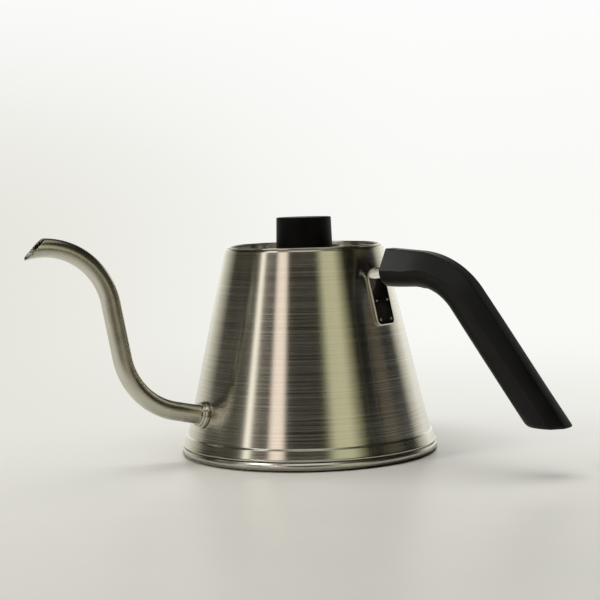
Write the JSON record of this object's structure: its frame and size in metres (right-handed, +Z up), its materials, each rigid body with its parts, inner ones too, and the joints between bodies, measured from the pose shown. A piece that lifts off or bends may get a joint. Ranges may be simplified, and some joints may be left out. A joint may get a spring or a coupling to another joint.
{
  "type": "gooseneck kettle",
  "caption": "Conical stainless steel pour-over kettle with a slim gooseneck spout, a slanted black side handle and a lift-off lid with a round knob.",
  "frame": {"origin": "centre of the flat underside of the base cap, on the axis of the conical body", "axes": "+Z up along the body's axis, +X from the axis towards the handle; the spout points towards -Y and a little towards -X, 115 degrees from the handle"},
  "size_m": [0.2267, 0.2102, 0.1258],
  "materials": {
    "body_steel": "fine circumferential brushing",
    "spout_steel": "satin, drawn tube",
    "polished_steel": "polished",
    "base_steel": "satin turned",
    "spreader_aluminium": "as pressed",
    "lid_steel": "fine circular brushing",
    "grip_resin": "fine matt grain",
    "knob_resin": "fine matt grain",
    "fastener_steel": "plain stainless",
    "insert_brass": "turned",
    "braze": "dull silver braze"
  },
  "bodies": {
    "kettle": {"body_shell": "body_steel", "mouth_ring": "polished_steel", "base_pan": "base_steel", "heat_spreader": "spreader_aluminium", "base_cap": "base_steel", "spout_tube": "spout_steel", "spout_collar": "polished_steel", "spout_braze_ring": "braze", "handle_bracket": "polished_steel", "bracket_spot_welds": "polished_steel", "handle_grip": "grip_resin", "handle_screws": "fastener_steel", "handle_washers": "fastener_steel", "handle_screw_plugs": "grip_resin"},
    "lid": {"lid_plate": "lid_steel", "lid_skirt": "lid_steel", "knob_spacer": "polished_steel", "lid_knob": "knob_resin", "knob_insert": "insert_brass", "knob_screw": "fastener_steel", "knob_lock_washer": "fastener_steel", "knob_washer": "fastener_steel"}
  },
  "joints": [
    {"name": "lid_lift", "type": "slide", "parent": "kettle", "child": "lid", "axis": [0, 0, 1], "range_m": [0, 0.08]}
  ]
}
